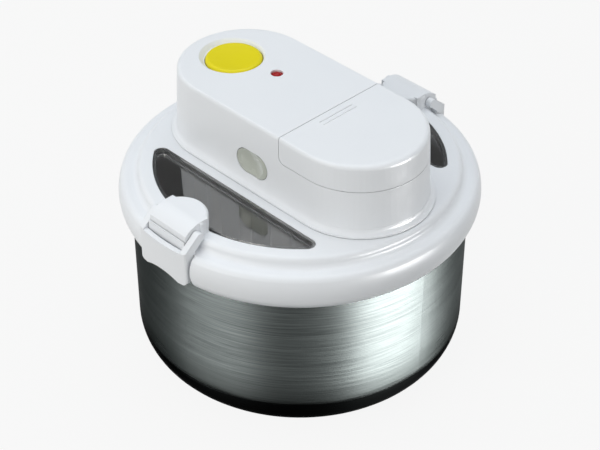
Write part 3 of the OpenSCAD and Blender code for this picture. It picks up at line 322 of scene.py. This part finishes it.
def finishes():
    """A finish for each of the record's material slots."""
    return {
        "white_plastic": white_plastic(),
        "bowl_steel": brushed_bowl(),
        "grey_rubber": plain_plastic("grey_rubber", (0.5, 0.52, 0.53)),
        "smoked_clear": smoked_clear(),
        "bright_steel": bright_metal("bright_steel", (0.62, 0.63, 0.64)),
        "natural_plastic": plain_plastic("natural_plastic", (0.78, 0.76, 0.69)),
        "yellow_plastic": yellow_plastic(),
        "red_lens": red_lens(),
        "grey_clear_plastic": grey_clear_plastic(),
        "grey_plastic": plain_plastic("grey_plastic", (0.3, 0.32, 0.34)),
        "brass": bright_metal("brass", (0.72, 0.53, 0.26)),
        "plated_steel": bright_metal("plated_steel", (0.55, 0.56, 0.56), (0.28, 0.4)),
        "black_plastic": plain_plastic("black_plastic", (0.03, 0.03, 0.033)),
        "board_green": plain_plastic("board_green", (0.03, 0.17, 0.07)),
        "dark_plastic": plain_plastic("dark_plastic", (0.06, 0.062, 0.066)),
        "cell_wrap": plain_plastic("cell_wrap", (0.05, 0.08, 0.20)),
    }


# ---- The pieces ----

def dress(finish):
    """Each node gets its record slot's finish."""
    for name, slot in SLOTS.items():
        piece = frame["nodes"][name].data
        piece.materials.clear()
        piece.materials.append(finish[slot])
        piece.polygons.foreach_set("material_index", [0] * len(piece.polygons))


def smooth(piece):
    """Rounded faces shade as one surface, and sharper edges stay crisp."""
    piece.data.polygons.foreach_set("use_smooth", [True] * len(piece.data.polygons))
    piece.data.set_sharp_from_angle(angle=CREASE)


def shorten(name, along, seated_end):
    """A copy of the push spring of that name moves with the motor unit in place of the node; it does not
    shorten. It lies along that axis, and seated_end, min or max, picks its seated end, which nothing goes
    on to use."""
    node = frame["nodes"][name]
    coil = bpy.data.objects.new(name + "_coil", node.data.copy())
    bpy.context.scene.collection.objects.link(coil)
    coil.matrix_world = node.matrix_world.copy()
    ends = [(coil.matrix_world @ Vector(corner)).dot(Vector(along)) for corner in node.bound_box]
    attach(coil, "motor_unit")
    [seated_end(ends) * share for share in along]
    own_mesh(coil)
    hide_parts(name)


# ---- Floor, light and camera ----

def floor():
    """Pale floor. What looks at it directly, or in metal and glass, sees it nearly white."""
    bpy.ops.mesh.primitive_plane_add(size=FLOOR_SIZE, location=(0, 0, CAD_BOX[0][2]))
    plane = bpy.context.object
    plane.name = "floor"
    made = Shader("floor_pale", Roughness=0.9, Specular_IOR_Level=0.1)
    made.plug(made.blend(made.noise(made.place(), 3.0), FLOOR_LIGHT, FLOOR_DARK), "Base Color")
    seen = made.node("LightPath").outputs
    direct = made.math("MAXIMUM", seen["Is Camera Ray"], made.math(
        "MAXIMUM", seen["Is Glossy Ray"], seen["Is Transmission Ray"]))
    glow = made.node("Emission", {"Color": (1.0, 1.0, 1.0, 1.0), "Strength": 1.0})
    both = made.node("MixShader", {0: made.math("MULTIPLY", direct, FLOOR_WHITE), 1: made.main.outputs[0],
                                   2: glow.outputs[0]})
    made.put(both.outputs[0], made.tree.nodes["Material Output"].inputs["Surface"])
    plane.data.materials.append(made.material)


def sky():
    """Even studio sky, with a dark card behind the set on the left."""
    world = bpy.data.worlds.new("studio")
    bpy.context.scene.world = world
    world.use_nodes = True
    tree = world.node_tree
    background = tree.nodes["Background"]
    background.inputs["Color"].default_value = SKY_COLOUR
    towards = tree.nodes.new("ShaderNodeVectorMath")
    towards.operation = "DOT_PRODUCT"
    towards.inputs[1].default_value = CARD_DIRECTION
    shade = tree.nodes.new("ShaderNodeMapRange")
    shade.interpolation_type = "SMOOTHSTEP"
    for key, value in zip(("From Min", "From Max", "To Min", "To Max"),
                          (*CARD_EDGE, SKY_STRENGTH, CARD_STRENGTH)):
        shade.inputs[key].default_value = value
    tree.links.new(tree.nodes.new("ShaderNodeTexCoord").outputs["Generated"], towards.inputs[0])
    tree.links.new(towards.outputs["Value"], shade.inputs["Value"])
    tree.links.new(shade.outputs["Result"], background.inputs["Strength"])


def softbox(name, azimuth, elevation, distance, size, power, colour):
    """Softbox that faces the aim point. One of the strips lights only its own nodes' gloss."""
    turn, rise = math.radians(azimuth), math.radians(elevation)
    place = Vector((math.cos(turn) * math.cos(rise), math.sin(turn) * math.cos(rise), math.sin(rise)))
    light = bpy.data.lights.new(name, "AREA")
    light.shape = "RECTANGLE"
    light.size, light.size_y = size
    light.energy = power
    light.color = colour
    lamp = bpy.data.objects.new(name, light)
    lamp.location = place * distance + Vector((0, 0, AIM_HEIGHT))
    lamp.rotation_euler = (-place).to_track_quat("-Z", "Y").to_euler()
    if name in HIGHLIGHTS_ON:
        lamp.visible_diffuse = False
        lit = bpy.data.collections.new(name + "_lights")
        for node in HIGHLIGHTS_ON[name]:
            lit.objects.link(frame["nodes"][node])
        lamp.light_linking.receiver_collection = lit
    bpy.context.scene.collection.objects.link(lamp)


def camera():
    aim = Vector((0, 0, CAD_BOX[0][2] + AIM_HEIGHT))
    out = Vector((math.sin(CAMERA_AZIMUTH) * math.cos(CAMERA_ELEVATION),
                  -math.cos(CAMERA_AZIMUTH) * math.cos(CAMERA_ELEVATION),
                  math.sin(CAMERA_ELEVATION)))
    data = bpy.data.cameras.new("camera")
    data.lens = CAMERA_LENS
    data.sensor_width = CAMERA_SENSOR
    eye = bpy.data.objects.new("camera", data)
    eye.location = aim + CAMERA_DISTANCE * out
    eye.rotation_euler = (math.pi / 2 - CAMERA_ELEVATION - CAMERA_PITCH, 0.0, CAMERA_AZIMUTH)
    bpy.context.scene.collection.objects.link(eye)
    bpy.context.scene.camera = eye


camera()
dress(finishes())
for node in frame["nodes"].values():
    smooth(node)
shorten("button_spring", (0, 0, 1), min)
shorten("front_release_spring", (0, 1, 0), max)
shorten("rear_release_spring", (0, 1, 0), min)
floor()
sky()
for name, settings in LIGHTS.items():
    softbox(name, *settings)
bpy.context.scene.view_settings.view_transform = "Standard"
